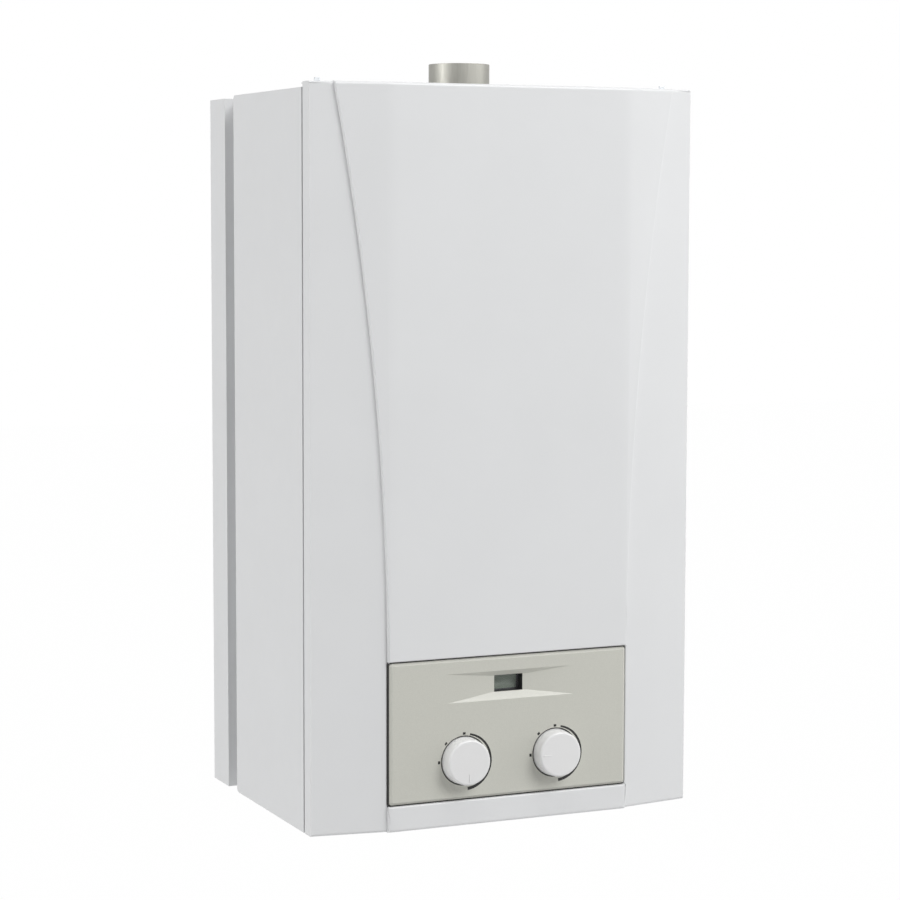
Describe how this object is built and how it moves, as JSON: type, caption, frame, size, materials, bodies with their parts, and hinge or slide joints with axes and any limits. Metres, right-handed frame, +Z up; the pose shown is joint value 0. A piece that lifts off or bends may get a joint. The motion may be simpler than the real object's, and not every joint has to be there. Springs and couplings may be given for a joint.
{
  "type": "wall-hung gas boiler",
  "caption": "Wall-hung gas boiler with a bowed white front casing, a control panel with two knobs and a display, a sealed chamber, a top flue and pipe tails below.",
  "frame": {"origin": "on the wall plane, at the centre line, level with the casing's lower edge", "axes": "+X to the right seen from the front, +Y into the wall, the front faces -Y, +Z up"},
  "size_m": [0.4, 0.3095, 0.754],
  "materials": {
    "white_enamel": "smooth satin powder coat",
    "galvanised_steel": "dull zinc coating",
    "flue_steel": "satin",
    "zinc_fasteners": "bright zinc",
    "brass_fittings": "machined and cast",
    "copper_pipe": "drawn copper",
    "red_enamel": "gloss enamel",
    "cast_aluminium": "die cast",
    "cast_iron": "dark coated",
    "stainless_steel": "satin",
    "motor_plastic": "moulded",
    "ceramic": "matt fibre and sintered sleeves",
    "silicone_hose": "soft matt",
    "fascia_plastic": "fine-grained moulding",
    "box_plastic": "moulded",
    "knob_plastic": "smooth moulding",
    "tap_plastic": "moulded",
    "gauge_plastic": "moulded",
    "needle_plastic": "moulded",
    "clear_glass": "clear",
    "circuit_board": "lacquered laminate"
  },
  "bodies": {
    "boiler": {"rear_frame": "white_enamel", "left_side_panel": "white_enamel", "right_side_panel": "white_enamel", "hook_rail": "galvanised_steel", "lower_bracket": "galvanised_steel", "heating_tails": "brass_fittings", "water_tails": "brass_fittings", "chamber_shell": "galvanised_steel", "chamber_lid": "galvanised_steel", "chamber_cover": "galvanised_steel", "sight_glass": "clear_glass", "flue_spigot": "flue_steel", "intake_caps": "galvanised_steel", "fan_housing": "galvanised_steel", "fan_motor": "cast_aluminium", "air_pressure_switch": "motor_plastic", "pressure_hoses": "silicone_hose", "fume_hood": "galvanised_steel", "heat_exchanger": "copper_pipe", "combustion_chamber": "flue_steel", "insulation_boards": "ceramic", "electrodes": "ceramic", "burner": "flue_steel", "gas_manifold": "cast_aluminium", "gas_valve": "cast_aluminium", "gas_supply_pipe": "brass_fittings", "burner_gas_pipe": "copper_pipe", "expansion_vessel": "red_enamel", "vessel_pipe": "copper_pipe", "flow_manifold": "brass_fittings", "valve_actuator": "motor_plastic", "plate_exchanger": "stainless_steel", "pump_body": "cast_iron", "pump_motor": "motor_plastic", "air_vent": "motor_plastic", "return_manifold": "brass_fittings", "safety_valve": "brass_fittings", "pressure_gauge": "gauge_plastic", "gauge_glass": "clear_glass", "exchanger_flow_pipe": "copper_pipe", "exchanger_return_pipe": "copper_pipe", "temperature_sensors": "motor_plastic", "control_fascia": "fascia_plastic", "display_window": "clear_glass", "display_module": "motor_plastic", "control_box": "box_plastic", "control_board": "circuit_board"},
    "casing": {"front_casing": "white_enamel", "casing_screws": "zinc_fasteners"},
    "heating_dial": {"heating_knob": "knob_plastic"},
    "water_dial": {"water_knob": "knob_plastic"},
    "fan_rotor": {"fan_impeller": "cast_aluminium"},
    "pump_rotor": {"pump_impeller": "motor_plastic"},
    "flow_turbine": {"turbine_rotor": "motor_plastic"},
    "diverter": {"valve_stem": "stainless_steel"},
    "pressure_needle": {"gauge_needle": "needle_plastic"},
    "filling_tap": {"filling_knob": "tap_plastic"},
    "drain_tap": {"drain_knob": "tap_plastic"},
    "relief_tap": {"safety_valve_knob": "tap_plastic"},
    "vent_screw": {"air_vent_cap": "motor_plastic"}
  },
  "joints": [
    {"name": "casing_slide", "type": "slide", "parent": "boiler", "child": "casing", "axis": [0, -1, 0], "range_m": [0, 0.3]},
    {"name": "heating_knob_turn", "type": "hinge", "parent": "boiler", "child": "heating_dial", "pos_m": [-0.0485, -0.2955, 0.0635], "axis": [0, 1, 0], "range_deg": [-270, 0]},
    {"name": "water_knob_turn", "type": "hinge", "parent": "boiler", "child": "water_dial", "pos_m": [0.0485, -0.2955, 0.0635], "axis": [0, 1, 0], "range_deg": [0, 270]},
    {"name": "fan_spin", "type": "hinge", "parent": "boiler", "child": "fan_rotor", "pos_m": [-0.031, -0.172, 0.619], "axis": [0, 1, 0], "continuous": true},
    {"name": "pump_spin", "type": "hinge", "parent": "boiler", "child": "pump_rotor", "pos_m": [0.13, -0.09, 0.165], "axis": [0, 1, 0], "continuous": true},
    {"name": "turbine_spin", "type": "hinge", "parent": "boiler", "child": "flow_turbine", "pos_m": [0.065, -0.055, 0.068], "axis": [0, 0, 1], "continuous": true},
    {"name": "valve_slide", "type": "slide", "parent": "boiler", "child": "diverter", "axis": [0, 0, 1], "range_m": [0, 0.008]},
    {"name": "gauge_needle_turn", "type": "hinge", "parent": "boiler", "child": "pressure_needle", "pos_m": [-0.05, -0.165, 0.016], "axis": [0, 0, 1], "range_deg": [0, 270]},
    {"name": "filling_tap_turn", "type": "hinge", "parent": "boiler", "child": "filling_tap", "pos_m": [0.0975, -0.055, 0.02], "axis": [0, 0, 1], "range_deg": [0, 90]},
    {"name": "drain_tap_turn", "type": "hinge", "parent": "boiler", "child": "drain_tap", "pos_m": [0.13, -0.09, 0.02], "axis": [0, 0, 1], "range_deg": [0, 360]},
    {"name": "relief_tap_turn", "type": "hinge", "parent": "boiler", "child": "relief_tap", "pos_m": [0.13, -0.148, 0.098], "axis": [0, 1, 0], "range_deg": [0, 90]},
    {"name": "vent_screw_turn", "type": "hinge", "parent": "boiler", "child": "vent_screw", "pos_m": [0.165, -0.09, 0.238], "axis": [0, 0, 1], "range_deg": [0, 360]}
  ]
}
